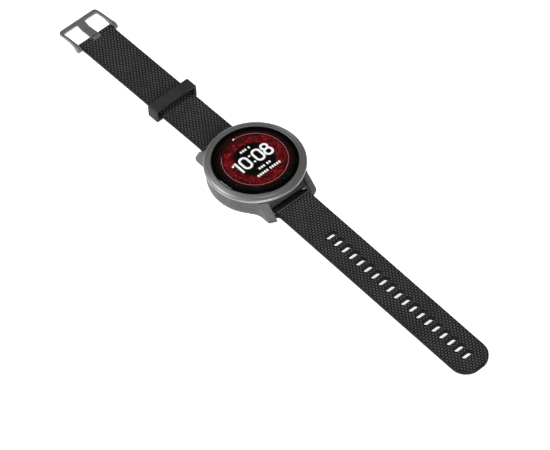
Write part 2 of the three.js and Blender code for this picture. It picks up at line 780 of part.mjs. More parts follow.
const group = new THREE.Group();
group.add(
  caseGroup(),
  buttonGroup(),
  strapHalf(-1, LONG_FALL, [piece("strap_long", strapLong(), "silicone"), springBar("long_bar", LUG_BAR)]),
  strapHalf(1, SHORT_FALL, [
    piece("strap_short", strapShort(), "silicone"),
    piece("keeper_loop", keeperLoop(), "silicone"),
    springBar("short_bar", LUG_BAR),
    buckle,
  ]),
);
export default group;
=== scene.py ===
"""A GPS running watch laid out flat: its fine shapes and finishes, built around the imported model.

Lengths are in millimetres until a mesh is made. Strap pieces are drawn in their strap's own frame:
the spring bar is the X axis, +Y runs outwards along the strap, +Z is up through its face.
"""

import json
import math

import bmesh
import bpy
import numpy as np
from mathutils import Matrix, Vector


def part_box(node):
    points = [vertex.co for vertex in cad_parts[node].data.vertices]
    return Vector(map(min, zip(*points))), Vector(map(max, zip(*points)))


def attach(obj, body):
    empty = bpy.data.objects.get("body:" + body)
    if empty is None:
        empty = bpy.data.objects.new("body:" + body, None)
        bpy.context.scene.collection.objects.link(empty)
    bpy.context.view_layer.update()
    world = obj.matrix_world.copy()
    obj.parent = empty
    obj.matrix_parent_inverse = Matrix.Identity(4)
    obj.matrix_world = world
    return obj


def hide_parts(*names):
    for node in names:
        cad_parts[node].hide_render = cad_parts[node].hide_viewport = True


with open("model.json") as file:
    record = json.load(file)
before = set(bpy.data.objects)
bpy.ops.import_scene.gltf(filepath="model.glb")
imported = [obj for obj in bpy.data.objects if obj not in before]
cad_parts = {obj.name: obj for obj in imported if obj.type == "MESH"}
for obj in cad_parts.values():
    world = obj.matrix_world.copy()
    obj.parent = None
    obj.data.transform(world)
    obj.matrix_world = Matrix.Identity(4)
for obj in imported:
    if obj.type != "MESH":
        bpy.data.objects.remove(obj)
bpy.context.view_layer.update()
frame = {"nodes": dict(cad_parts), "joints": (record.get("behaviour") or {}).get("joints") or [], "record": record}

MM = 0.001
FULL_TURN = 2 * math.pi
HALF_TURN = math.pi
QUARTER = math.pi / 2

# ---- driving dimensions ----
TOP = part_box("glass")[1].z / MM
BEZEL_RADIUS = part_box("bezel")[1].x / MM
GLASS_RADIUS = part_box("glass")[1].x / MM
PANEL_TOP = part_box("display_panel")[1].z / MM
COVER_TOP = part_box("rear_cover")[1].z / MM
CASE_RADIUS = 20.9
CASE_BOTTOM = 0.9
CASE_TOP = 9.1
CAVITY_RADIUS = 18.9
CAVITY_FLAT = 17.6
BUTTON_WALL = 17.7
LUG_GAP = 20.0
LUG_SIDE = 13.1
LUG_HOLE_DEPTH = 1.4
SCREW_CIRCLE = 16.4  # radius at which the four rear screws stand
PANEL_RADIUS = 16.9
DIODE_X = 3.9  # of the two lights, either side of the sensor's middle
STRAP_RECESS = 3.0

JOINTS = {joint["name"]: joint for joint in frame["joints"]}
BAR_Y = JOINTS["short_strap_hinge"]["pos_m"][1] / MM
BAR_Z = JOINTS["short_strap_hinge"]["pos_m"][2] / MM

STRAP_HALF = 8.8
STRAP_TOP = 1.7
STRAP_BOTTOM = -0.5
STRAP_MIDDLE = (STRAP_TOP + STRAP_BOTTOM) / 2
ROOT_RADIUS = 2.25
BORE_RADIUS = 0.95  # at a strap's root, for the lug's spring bar
BUCKLE_BORE = 0.85  # in the short strap's end and in the tang, for the buckle's bar
TIP_BORE = 0.6  # for a bar's tips
LONG_LENGTH = 115.2
LONG_FALL = 0.0235
SHORT_LENGTH = 81.1
SHORT_FALL = 0.02
SLOT_COUNT = 19
SLOT_FIRST = 25.05
SLOT_PITCH = 4.54
SLOT_HALF_LENGTH = 2.4
SLOT_HALF_WIDTH = 1.075
TIP_LENGTH = 8.0
TIP_POWER = 2.2
STRAP_END = ((1.5, 0.0), (1.2, 0.7))  # rounds of the short strap's end: radius, and how far past the bar
LEVER_TILT = 0.34
LEVER_X = -7.1  # middle of the slot that the quick-release lever slides in
KNOB_X = -7.55

WEAVE_ROW = SLOT_PITCH / 4
WEAVE_PITCH = 2 * STRAP_HALF / 11
WEAVE_DEPTH = 0.24
WEAVE_START = 1.5
LONG_CREST = (0.40, 0.50)  # half sizes, as shares of a pitch and of a row
SHORT_CREST = (0.19, 0.62)
SHORT_CREST_HEIGHT = 0.62
WEAVE_SHADE_AND_HIGHLIGHT_DEPTHS = (0.6, 0.05)  # shares of the weave's depth between which the colour turns from painted shade in the valleys to a painted highlight on the crests
EDGE_PLAIN = (0.30, 0.75)  # from a strap's edge, where the weave fades in

KEEPER_AT = 31.3
KEEPER_HALF_LENGTH = 2.8
KEEPER_LIFT = 0.45
KEEPER_OUTSIDE = (11.2, 3.5)  # half sizes of the loop
KEEPER_WALL = 1.2

BUTTON_Z = 5.2


# ---- outlines ----
def arc(x, y, radius, start, end, steps=12):
    """Points on a circle's arc, both ends included."""
    turns = np.linspace(start, end, steps + 1)
    return [(x + radius * math.cos(a), y + radius * math.sin(a)) for a in turns]


def bend(start, pull, end, steps=12):
    """Points on a quadratic curve from start to end, drawn towards pull."""
    points = []
    for t in np.linspace(0, 1, steps + 1):
        a, b, c = (1 - t) ** 2, 2 * t * (1 - t), t * t
        points.append((a * start[0] + b * pull[0] + c * end[0], a * start[1] + b * pull[1] + c * end[1]))
    return points


def rounded_rectangle(half_x, half_y, radius, steps=10):
    """A rectangle about the origin with round corners, anticlockwise."""
    x, y = half_x - radius, half_y - radius
    corners = [(x, -y, -QUARTER), (x, y, 0), (-x, y, QUARTER), (-x, -y, HALF_TURN)]
    return [p for cx, cy, a in corners for p in arc(cx, cy, radius, a, a + QUARTER, steps)]


def filleted(corners, steps=4):
    """A profile's (x, y, radius) corners with each one rounded to its radius; the first and last stay."""
    points = [corners[0][:2]]
    for before, corner, after in zip(corners, corners[1:], corners[2:]):
        here = Vector(corner[:2])
        towards = [(Vector(other[:2]) - here) for other in (before, after)]
        reach = min(corner[2], 0.49 * towards[0].length, 0.49 * towards[1].length)
        if reach <= 0:
            points.append(tuple(here))
            continue
        start, end = (here + way.normalized() * reach for way in towards)
        points += bend(start, here, end, steps)
    points.append(corners[-1][:2])
    return points


# ---- meshes ----
def new_piece(name, points, faces, place=Matrix.Identity(4)):
    """An object whose mesh is drawn in millimetres, then placed in the row's frame in metres."""
    mesh = bpy.data.meshes.new(name)
    mesh.from_pydata(np.asarray(points, float).tolist(), [], faces)
    mesh.transform(Matrix.Scale(MM, 4) @ place)
    mesh.validate()
    piece = bpy.data.objects.new(name, mesh)
    bpy.context.scene.collection.objects.link(piece)
    tidy_normals(piece)
    return piece


def tidy_normals(piece):
    work = bmesh.new()
    work.from_mesh(piece.data)
    bmesh.ops.recalc_face_normals(work, faces=work.faces)
    work.to_mesh(piece.data)
    work.free()


def swept(name, rings, place=Matrix.Identity(4), looped=False):
    """A skin over rings of equal count; its ends are capped unless it loops back on itself."""
    rings = np.asarray(rings, float)
    count, sides = rings.shape[:2]
    faces = []
    for i in range(count if looped else count - 1):
        a, b = i * sides, ((i + 1) % count) * sides
        faces += [(a + j, a + (j + 1) % sides, b + (j + 1) % sides, b + j) for j in range(sides)]
    if not looped:
        faces.append(tuple(range(sides))[::-1])
        faces.append(tuple(range((count - 1) * sides, count * sides)))
    return new_piece(name, rings.reshape(-1, 3), faces, place)


def spun(name, profile, sides=192, place=Matrix.Identity(4)):
    """A profile of (radius, height) points turned about Z. Points on the axis become one vertex."""
    points, faces, rows = [], [], []
    for radius, height in profile:
        if radius < 1e-6:
            rows.append([len(points)] * sides)
            points.append((0, 0, height))
            continue
        rows.append(range(len(points), len(points) + sides))
        for k in range(sides):
            turn = FULL_TURN * k / sides
            points.append((radius * math.cos(turn), radius * math.sin(turn), height))
    for low, high in zip(rows, rows[1:]):
        for k in range(sides):
            corners = [low[k], low[(k + 1) % sides], high[(k + 1) % sides], high[k]]
            face = list(dict.fromkeys(corners))
            if len(face) > 2:
                faces.append(face)
    return new_piece(name, points, faces, place)


def spun_ring(name, profile, sides=192, place=Matrix.Identity(4)):
    """A profile that closes on itself, turned about Z."""
    rings = []
    for k in range(sides):
        turn = FULL_TURN * k / sides
        rings.append([(r * math.cos(turn), r * math.sin(turn), z) for r, z in profile])
    return swept(name, rings, place, looped=True)


ALONG_X = Matrix(((0, 0, 1, 0), (1, 0, 0, 0), (0, 1, 0, 0), (0, 0, 0, 1)))
AXIS_TO_X = Matrix.Rotation(QUARTER, 4, "Y")


def prism(name, outline, low, high, place=Matrix.Identity(4)):
    """An outline raised along Z. With ALONG_X in its place, the outline is in YZ and runs along X."""
    return swept(name, [[(x, y, z) for x, y in outline] for z in (low, high)], place)


def rod(name, radius, x0, x1, y=0.0, z=0.0, place=Matrix.Identity(4), sides=48):
    return prism(name, arc(y, z, radius, 0, FULL_TURN, sides)[:-1], x0, x1, place @ ALONG_X)


def applied(piece):
    """Settles a piece's modifiers into its mesh."""
    bpy.context.view_layer.update()
    settled = bpy.data.meshes.new_from_object(piece.evaluated_get(bpy.context.evaluated_depsgraph_get()))
    old = piece.data
    piece.modifiers.clear()
    piece.data = settled
    bpy.data.meshes.remove(old)
    return piece


def combined(piece, operation, *tools):
    """Cuts, joins or crosses a piece with other solids, which are used up."""
    for tool in tools:
        step = piece.modifiers.new(operation.lower(), "BOOLEAN")
        step.operation = operation
        step.solver = "MANIFOLD"
        step.object = tool
    applied(piece)
    for tool in tools:
        bpy.data.objects.remove(tool)
    return piece


def softened(piece, voxel, rounds):
    """Rebuilds a solid in fine cells and eases its edges, as a mould or a polishing wheel leaves them."""
    cells = piece.modifiers.new("cells", "REMESH")
    cells.mode = "VOXEL"
    cells.voxel_size = voxel * MM
    ease = piece.modifiers.new("ease", "SMOOTH")
    ease.factor = 0.5
    ease.iterations = rounds
    return applied(piece)


def dressed(piece, body, slot, finish, *nodes, crease=40):
    """Gives a piece its shading, finish and body, and the CAD nodes that it stands for. Its slot argument is not
    used.
    """
    piece.data.shade_smooth()
    piece.data.set_sharp_from_angle(angle=math.radians(crease))
    piece.data.materials.clear()
    piece.data.materials.append(finish)
    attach(piece, body)
    if nodes:
        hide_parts(*nodes)


# ---- finishes ----
class Value:
    """A socket of a finish. Arithmetic on it adds Math nodes."""

    def __init__(self, finish, socket):
        self.finish = finish
        self.socket = socket

    def math(self, operation, *others):
        values = dict(enumerate((self, *others)))
        return self.finish.node("Math", {"operation": operation}, values)

    def __add__(self, other):
        return self.math("ADD", other)

    def __sub__(self, other):
        return self.math("SUBTRACT", other)

    def __rsub__(self, other):
        return self.finish.node("Math", {"operation": "SUBTRACT"}, {0: other, 1: self})

    def __mul__(self, other):
        return self.math("MULTIPLY", other)

    def __truediv__(self, other):
        return self.math("DIVIDE", other)

    def __abs__(self):
        return self.math("ABSOLUTE")

    __radd__ = __add__
    __rmul__ = __mul__


class Finish:
    """A material: one Principled shader and the nodes that vary it over the surface."""

    def __init__(self, name, **settings):
        self.material = bpy.data.materials.new(name)
        self.material.use_nodes = True
        self.nodes = self.material.node_tree.nodes
        self.links = self.material.node_tree.links
        self.shader = next(n for n in self.nodes if n.type == "BSDF_PRINCIPLED")
        for socket, value in settings.items():
            self.feed(socket.replace("_", " "), value)

    def feed(self, socket, value):
        """Sets a socket of the shader, or links it to a value."""
        self.put(self.shader.inputs[socket], value)

    def put(self, target, value):
        if isinstance(value, Value):
            self.links.new(value.socket, target)
        elif target.type == "RGBA" and len(value) == 3:
            target.default_value = (*value, 1)
        else:
            target.default_value = value

    def node(self, kind, settings=None, inputs=None, output=0):
        """Adds a node: its settings first, then the values or links of its sockets."""
        node = self.nodes.new("ShaderNode" + kind)
        for key, value in (settings or {}).items():
            setattr(node, key, value)
        for key, value in (inputs or {}).items():
            self.put(node.inputs[key], value)
        return Value(self, node.outputs[output])

    def place(self):
        """The point on the piece, in millimetres of the row's frame."""
        here = self.node("TexCoord", output="Object")
        return self.node("VectorMath", {"operation": "SCALE"}, {0: here, "Scale": 1 / MM})

    def parts(self, vector):
        split = self.node("SeparateXYZ", inputs={0: vector}).socket.node
        return [Value(self, socket) for socket in split.outputs]

    def vector(self, x, y, z):
        return self.node("CombineXYZ", inputs={0: x, 1: y, 2: z})

    def noise(self, where, scale, detail=3.0, roughness=0.55, distortion=0.0):
        inputs = {"Vector": where, "Scale": scale, "Detail": detail}
        inputs |= {"Roughness": roughness, "Distortion": distortion}
        return self.node("TexNoise", inputs=inputs)

    def between(self, value, low, high, start=0.0, end=1.0):
        """Maps low..high smoothly to start..end."""
        inputs = {"Value": value, 1: low, 2: high, 3: start, 4: end}
        return self.node("MapRange", {"interpolation_type": "SMOOTHSTEP"}, inputs)

    def spread(self, noise, start=0.0, end=1.0):
        """A noise's usual range, mapped to start..end."""
        return self.between(noise, 0.3, 0.7, start, end)

    def blend(self, factor, first, second):
        """A colour between two colours."""
        return self.node("Mix", {"data_type": "RGBA"}, {0: factor, 6: first, 7: second}, output=2)

    def bump(self, height, depth, strength=1.0):
        """Relief of a given depth in millimetres."""
        inputs = {"Height": height, "Distance": depth * MM, "Strength": strength}
        return self.node("Bump", inputs=inputs)


def from_axis(x, y):
    """Distance from the watch's own axis."""
    return (x * x + y * y).math("SQRT")


def grey(level, tint=(1.0, 1.0, 1.0)):
    return tuple(level * t for t in tint)


def silicone(name, fall=None, end=None):
    """Matt black silicone. On a strap, the weave's crests are painted lighter as a highlight and its valleys near
    black as shade.
    """
    finish = Finish(name, Specular_IOR_Level=0.22)
    here = finish.place()
    cloud = finish.noise(here, 0.12, 3)
    grain = finish.noise(here, 9.0, 2)
    tone = finish.spread(cloud)
    if fall is None:
        colour = finish.blend(tone, grey(0.020), grey(0.027, (1.0, 1.0, 1.02)))
    else:
        x, y, z = finish.parts(here)
        slope = math.atan(fall)
        height = (z - BAR_Z) * math.cos(slope) + (abs(y) - BAR_Y) * math.sin(slope)
        if end:
            for radius, past in STRAP_END:
                along = abs(y) - (BAR_Y + end + past)
                bulge = (radius**2 - along * along).math("MAXIMUM", 0.0).math("SQRT")
                height = height - (bulge - (STRAP_TOP - STRAP_MIDDLE)).math("MAXIMUM", 0.0)
        # Painted light: by height over the strap's face, the weave's crests get a painted highlight and its
        # valleys painted shade.
        low, high = (STRAP_TOP - share * WEAVE_DEPTH for share in WEAVE_SHADE_AND_HIGHLIGHT_DEPTHS)
        crest = finish.between(height, low, high)
        colour = finish.blend(crest * (0.7 + tone * 0.3), grey(0.002), grey(0.086))
        woven = finish.between(abs(y), BAR_Y + WEAVE_START - 0.2, BAR_Y + WEAVE_START)
        colour = finish.blend(woven, grey(0.006), colour)
    speck = finish.between(finish.noise(here, 3.1, 5, 0.7), 0.66, 0.74, 0.0, 0.25)
    finish.feed("Base Color", finish.blend(speck, colour, grey(0.032)))
    finish.feed("Roughness", finish.spread(grain, 0.62, 0.78))
    finish.feed("Normal", finish.bump(grain, 0.02, 0.5))
    return finish.material


def case_resin():
    """Slate resin with the fine grain of a spark-eroded mould."""
    finish = Finish("case_resin_finish", IOR=1.5)
    here = finish.place()
    cloud = finish.noise(here, 0.16, 4)
    grain = finish.noise(here, 7.0, 3, 0.7)
    dark, light = grey(0.042, (0.98, 1, 1.06)), grey(0.058, (0.98, 1, 1.05))
    colour = finish.blend(finish.between(cloud, 0.35, 0.65), dark, light)
    fleck = finish.between(grain, 0.6, 0.78, 0.0, 0.5)
    finish.feed("Base Color", finish.blend(fleck, colour, grey(0.085, (0.97, 1, 1.06))))
    finish.feed("Roughness", finish.spread(grain, 0.42, 0.56))
    finish.feed("Normal", finish.bump(grain, 0.03, 0.5))
    return finish.material


def round_brushed_steel():
    """Gunmetal-coated steel with lathe-brushed rings; its outermost edge is painted lighter all round, in patches,
    as a highlight.
    """
    finish = Finish("bezel_steel_finish", Metallic=0.55)
    here = finish.place()
    x, y, z = finish.parts(here)
    radius = from_axis(x, y)
    rings = finish.vector(x / radius * 2.5, y / radius * 2.5, radius * 26 + z * 31)
    hair = finish.noise(rings, 1.0, 3, 0.65)
    cloud = finish.noise(here, 0.2, 3)
    base = finish.blend(finish.spread(hair), grey(0.15, (1, 1, 0.98)), grey(0.21, (1, 1, 0.98)))
    # Painted highlight: the outermost edge is painted lighter all round, broken into patches by the cloud.
    wear_and_edge_highlight = finish.between(radius, BEZEL_RADIUS - 0.35, BEZEL_RADIUS - 0.05, 0.0, 0.8)
    patchy_edge_highlight = wear_and_edge_highlight * finish.spread(cloud, 0.4, 1.0)
    finish.feed("Base Color", finish.blend(patchy_edge_highlight, base, grey(0.42)))
    finish.feed("Roughness", finish.spread(hair, 0.34, 0.48))
    finish.feed("Normal", finish.bump(hair, 0.02, 0.45))
    return finish.material


def satin_steel(name, level, lengthways, rough=(0.30, 0.44), metallic=1.0):
    """Steel brushed along one axis, with soft wear."""
    finish = Finish(name, Metallic=metallic)
    here = finish.place()
    x, y, z = finish.parts(here)
    long, across = 0.7, 22.0
    scales = [long if axis == lengthways else across for axis in range(3)]
    hair = finish.noise(finish.vector(x * scales[0], y * scales[1], z * scales[2]), 1.0, 3, 0.6)
    cloud = finish.noise(here, 0.5, 4)
    base = finish.blend(finish.spread(hair), grey(0.85 * level), grey(1.15 * level))
    wear_and_edge_highlight = finish.between(cloud, 0.55, 0.75, 0, 0.5)
    finish.feed("Base Color", finish.blend(wear_and_edge_highlight, base, grey(1.5 * level)))
    finish.feed("Roughness", finish.spread(hair, *rough))
    finish.feed("Normal", finish.bump(hair, 0.015, 0.4))
    return finish.material


def cover_glass():
    """Clear glass with a black printed border and faint finger smears."""
    finish = Finish("cover_glass_finish", IOR=1.3, Transmission_Weight=1.0)
    here = finish.place()
    x, y, z = finish.parts(here)
    border = finish.between(from_axis(x, y), PANEL_RADIUS - 0.3, PANEL_RADIUS)
    finish.feed("Base Color", finish.blend(border, grey(1.0), grey(0.002)))
    smear = finish.noise(here, 0.22, 5, 0.6, 1.2)
    finish.feed("Roughness", finish.between(smear, 0.55, 0.75, 0.0, 0.06))
    return finish.material


PICTURE_SHIFT = (0.45, 0.55)


def lit_screen():
    """Black, with a ring of swirling red strokes around the middle and dim rings outside it."""
    settings = {"Base_Color": grey(0.001), "Specular_IOR_Level": 0.1, "Emission_Strength": 1.0}
    finish = Finish("lit_screen_finish", **settings)
    here = finish.place()
    x, y, z = finish.parts(here)
    x, y = x - PICTURE_SHIFT[0], y - PICTURE_SHIFT[1]
    radius = from_axis(x, y)
    relief = finish.noise(here, 0.22, 1, 0.4, 2.0)
    fine = finish.noise(here, 0.45, 1, 0.5, 1.0)
    strokes = finish.between(abs((relief * 17.0).math("SINE")), 0.72, 0.98, 0.0, 1.0)
    thin = finish.between(abs((fine * 12.0).math("SINE")), 0.84, 1.0, 0.0, 0.55)
    patches = finish.between(finish.noise(here, 0.3, 1), 0.40, 0.58, 0.25, 1.0)
    dark, bright = (0.026, 0.0004, 0.0012), (0.30, 0.006, 0.012)
    red = finish.blend(strokes.math("MAXIMUM", thin) * patches, dark, bright)
    ring = finish.between(radius, 8.3, 9.6) * finish.between(radius, 13.0, 13.4, 1.0, 0.0)
    ripple = finish.between((radius * 5.2).math("SINE"), -0.6, 1.0, 0.35, 1.0)
    dim = finish.between(radius, 13.2, 13.5) * finish.between(radius, 13.8, 16.2, 1.0, 0.0) * ripple
    glow = finish.blend(ring, grey(0.0), red)
    finish.feed("Emission Color", finish.blend(dim, glow, (0.040, 0.0006, 0.0020)))
    finish.feed("Roughness", finish.spread(fine, 0.2, 0.3))
    return finish.material


def lit_mark(name, colour):
    """A lit part of the picture, with the fine grid of its dots."""
    finish = Finish(name, Base_Color=grey(0.02), Roughness=0.4, Emission_Strength=1.0)
    x, y, z = finish.parts(finish.place())
    dots = (x * 40.0).math("SINE") * (y * 40.0).math("SINE")
    lit = finish.between(dots, -1.0, 0.4, 0.9, 1.0)
    finish.feed("Emission Color", finish.blend(lit, grey(0.0), colour))
    return finish.material


def moulded(name, colour, rough=0.5):
    """Plain moulded or coated small parts: slight mottling and a fine grain."""
    finish = Finish(name)
    here = finish.place()
    cloud = finish.noise(here, 0.6, 4)
    grain = finish.noise(here, 8.0, 2)
    light = tuple(min(1.0, 1.35 * c + 0.004) for c in colour)
    finish.feed("Base Color", finish.blend(finish.spread(cloud), colour, light))
    finish.feed("Roughness", finish.spread(grain, rough - 0.06, rough + 0.08))
    finish.feed("Normal", finish.bump(grain, 0.01, 0.5))
    return finish.material


def plated(name, colour, rough=0.25):
    """Thin metal plate or foil, with small dents in its shine."""
    finish = Finish(name, Metallic=1.0)
    here = finish.place()
    cloud = finish.noise(here, 0.8, 4)
    light = tuple(min(1.0, 1.2 * c) for c in colour)
    finish.feed("Base Color", finish.blend(finish.spread(cloud), colour, light))
    finish.feed("Roughness", finish.spread(cloud, rough, rough + 0.15))
    finish.feed("Normal", finish.bump(cloud, 0.05, 0.3))
    return finish.material


def circuit_board():
    """Green solder mask over a grid of copper tracks."""
    finish = Finish("circuit_board_finish", Roughness=0.45)
    here = finish.place()
    bricks = {"offset": 0.5, "squash": 1.0}
    inputs = {
        "Vector": here,
        "Color1": (0.008, 0.075, 0.032, 1),
        "Color2": (0.012, 0.095, 0.042, 1),
        "Mortar": (0.05, 0.20, 0.07, 1),
        "Scale": 0.6,
        "Mortar Size": 0.03,
    }
    tracks = finish.node("TexBrick", bricks, inputs)
    finish.feed("Base Color", tracks)
    finish.feed("Normal", finish.bump(finish.noise(here, 4.0, 2), 0.02, 0.4))
    return finish.material


def sensor_lens():
    """Near-black polished lens; the windows over the diodes show as dim green and violet rounds."""
    finish = Finish("sensor_lens_finish", IOR=1.58, Coat_Roughness=0.03)
    here = finish.place()
    x, y, z = finish.parts(here)
    eyes = finish.between(from_axis(abs(x) - DIODE_X, y), 1.0, 1.25, 1.0, 0.0)
    centre = finish.between(from_axis(x, y), 1.6, 1.85, 1.0, 0.0)
    colour = finish.blend(eyes, grey(0.006), (0.010, 0.050, 0.022))
    finish.feed("Base Color", finish.blend(centre, colour, (0.035, 0.028, 0.050)))
    smear = finish.noise(here, 0.4, 5, 0.6)
    finish.feed("Roughness", finish.between(smear, 0.4, 0.75, 0.06, 0.22))
    return finish.material


RESIN = case_resin()
BEZEL_STEEL = round_brushed_steel()
BUCKLE_STEEL = satin_steel("buckle_steel_finish", 0.16, 0, (0.42, 0.56), 0.4)
BUTTON_STEEL = satin_steel("button_steel_finish", 0.20, 1)
BAR_STEEL = satin_steel("bar_steel_finish", 0.42, 0, (0.22, 0.36))
LONG_SILICONE = silicone("long_strap_finish", LONG_FALL)
SHORT_SILICONE = silicone("short_strap_finish", SHORT_FALL, SHORT_LENGTH)
KEEPER_SILICONE = silicone("keeper_finish")
GLASS = cover_glass()
SCREEN = lit_screen()
LENS = sensor_lens()
SEAL = moulded("seal_finish", grey(0.015), 0.7)
INNER = moulded("inner_plastic_finish", grey(0.02), 0.45)
DIODE = moulded("diode_finish", (0.12, 0.45, 0.2), 0.2)
GOLD = plated("contact_gold_finish", (0.72, 0.50, 0.20))
FOIL = plated("foil_finish", grey(0.5))
BOARD = circuit_board()


# ---- case ----
LUG_SLOPE = [
    (17.0, 1.0, 0), (26.0, 1.0, 0.3), (26.75, 1.35, 0.35), (27.0, 2.0, 0.35),
    (26.8, 2.7, 0.4), (26.2, 3.5, 0.5), (24.6, 5.6, 0.8), (22.9, 7.7, 0.5),
    (22.2, 8.6, 0.3), (21.6, CASE_TOP, 0), (17.0, CASE_TOP, 0),
]


def lug(sign_x, sign_y):
    """A slab of the lugs' shared outer surface, blended into the case's side."""
    inner = LUG_GAP / 2
    plan = [(inner, 12), (inner, 27), (LUG_SIDE - 0.8, 27), (LUG_SIDE - 0.8, 24.2)]
    plan += bend((LUG_SIDE - 0.8, 24.2), (LUG_SIDE, 23.8), (LUG_SIDE, 22.6))[1:]
    plan += bend((LUG_SIDE, 18.6), (LUG_SIDE, 16.2), (LUG_SIDE + 2.2, 13.9))
    plan += [(LUG_SIDE + 2.2, 12)]
    body = prism("lug", plan, 0, CASE_TOP + 1, Matrix.Diagonal((sign_x, sign_y, 1, 1)))
    return combined(body, "INTERSECT", spun_ring("lug_slope", filleted(LUG_SLOPE), 192))


def button_outline(clearance):
    height = 1.3 + clearance
    shape = rounded_rectangle(3.5 + clearance, height, height - 0.01)
    return [(y, z + BUTTON_Z) for y, z in shape]


def case_body():
    corners = [
        (0, CASE_BOTTOM, 0), (20.0, CASE_BOTTOM, 0.3), (20.45, 1.15, 0.3),
        (20.7, 1.8, 0.5), (20.85, 2.7, 0.8), (CASE_RADIUS, 3.7, 0.8),
        (CASE_RADIUS, CASE_TOP, 0.2), (0, CASE_TOP, 0),
    ]
    body = spun("case_shell", filleted(corners), 256)
    combined(body, "UNION", *(lug(sx, sy) for sx in (-1, 1) for sy in (-1, 1)))
    cavity = prism("cavity", arc(0, 0, CAVITY_RADIUS, 0, FULL_TURN, 128)[:-1], 3.8, CASE_TOP + 1)
    flats = [
        (-CAVITY_RADIUS - 1, -CAVITY_FLAT), (BUTTON_WALL, -CAVITY_FLAT),
        (BUTTON_WALL, CAVITY_FLAT), (-CAVITY_RADIUS - 1, CAVITY_FLAT),
    ]
    combined(cavity, "INTERSECT", prism("cavity_flats", flats, 0, CASE_TOP + 2))
    inner = LUG_GAP / 2
    bars = (-BAR_Y, BAR_Y)
    recesses = [rod("recess", STRAP_RECESS, -inner, inner, y, BAR_Z, sides=96) for y in bars]
    combined(body, "DIFFERENCE", cavity, *recesses)
    softened(body, 0.15, 3)
    seat = spun("seat", [(0, 0), (18.05, 0), (18.05, 2.3), (0, 2.3)], 192)
    ledge = spun("ledge", [(0, 1.8), (14.6, 1.8), (14.6, 4.3), (0, 4.3)], 192)
    deep = inner + LUG_HOLE_DEPTH
    holes = [rod("tip_hole", TIP_BORE, -deep, deep, y, BAR_Z) for y in bars]
    pocket = prism("pocket", button_outline(0.2), 19.2, 23, ALONG_X)
    stem_way = rod("stem_way", 0.85, BUTTON_WALL - 0.5, 19.7, 0, BUTTON_Z)
    combined(body, "DIFFERENCE", seat, ledge, *holes, pocket, stem_way)
    dressed(body, "case", "case_resin", RESIN, "case_body")


def bezel():
    """Two gently domed bands with a fine line between them, and a thin lower edge."""
    under, ledge = CASE_TOP + 0.1, 10.2
    corners = [
        (17.2, under + 0.5, 0), (17.2, under, 0.1), (21.3, under, 0.12),
        (BEZEL_RADIUS, 9.55, 0.1), (BEZEL_RADIUS, 10.15, 0.3), (21.35, 10.62, 0.35),
        (20.3, 11.08, 0.1), (20.15, 10.97, 0.05), (20.0, 11.02, 0.05), (19.9, 11.2, 0.1),
        (18.6, TOP - 0.2, 0.15), (18.45, TOP - 0.3, 0.06), (18.45, ledge, 0.05),
        (17.2, ledge, 0.05), (17.2, under + 0.5, 0),
    ]
    piece = spun_ring("bezel_ring", filleted(corners)[:-1], 288)
    dressed(piece, "case", "bezel_steel", BEZEL_STEEL, "bezel", crease=30)


def glass():
    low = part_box("glass")[0].z / MM
    corners = [
        (0, low, 0), (GLASS_RADIUS, low, 0.05), (GLASS_RADIUS, TOP - 0.22, 0.1),
        (GLASS_RADIUS - 0.4, TOP, 0.25), (0, TOP, 0),
    ]
    disc = spun("glass_disc", filleted(corners, 6), 288)
    dressed(disc, "case", "cover_glass", GLASS, "glass", crease=30)


def display():
    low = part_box("display_panel")[0].z / MM
    corners = [(0, low, 0), (PANEL_RADIUS, low, 0.05), (PANEL_RADIUS, PANEL_TOP, 0.05), (0, PANEL_TOP, 0)]
    disc = spun("display_disc", filleted(corners), 192)
    dressed(disc, "case", "screen", SCREEN, "display_panel")


def stroke(name, path, width, level, looped=False):
    """A flat band along a path, with round ends unless it loops."""
    path = [Vector((x, y)) for x, y in path]
    half = width / 2
    stations = []
    count = len(path)
    for i, point in enumerate(path):
        before = path[i - 1] if looped or i else point
        after = path[(i + 1) % count] if looped or i < count - 1 else point
        stations.append((point, (after - before).normalized(), half))
    if not looped:
        turns = np.linspace(0.12, QUARTER, 7)[:-1]
        first, out, _ = stations[0]
        last, on, _ = stations[-1]
        caps = [(first - out * half * math.cos(a), out, half * math.sin(a)) for a in turns]
        tails = [(last + on * half * math.cos(a), on, half * math.sin(a)) for a in turns[::-1]]
        stations = caps + stations + tails
    rings = []
    for point, along, reach in stations:
        across = Vector((-along.y, along.x)) * reach
        left, right = point + across, point - across
        rings.append([(*left, level), (*right, level), (*right, level + 0.03), (*left, level + 0.03)])
    return swept(name, rings, looped=looped)


def shifted(outline, x, y):
    return [(px + x, py + y) for px, py in outline]


def joined(name, pieces):
    """Makes one object of several."""
    merged = bmesh.new()
    for piece in pieces:
        merged.from_mesh(piece.data)
        bpy.data.objects.remove(piece)
    mesh = bpy.data.meshes.new(name)
    merged.to_mesh(mesh)
    merged.free()
    result = bpy.data.objects.new(name, mesh)
    bpy.context.scene.collection.objects.link(result)
    return result


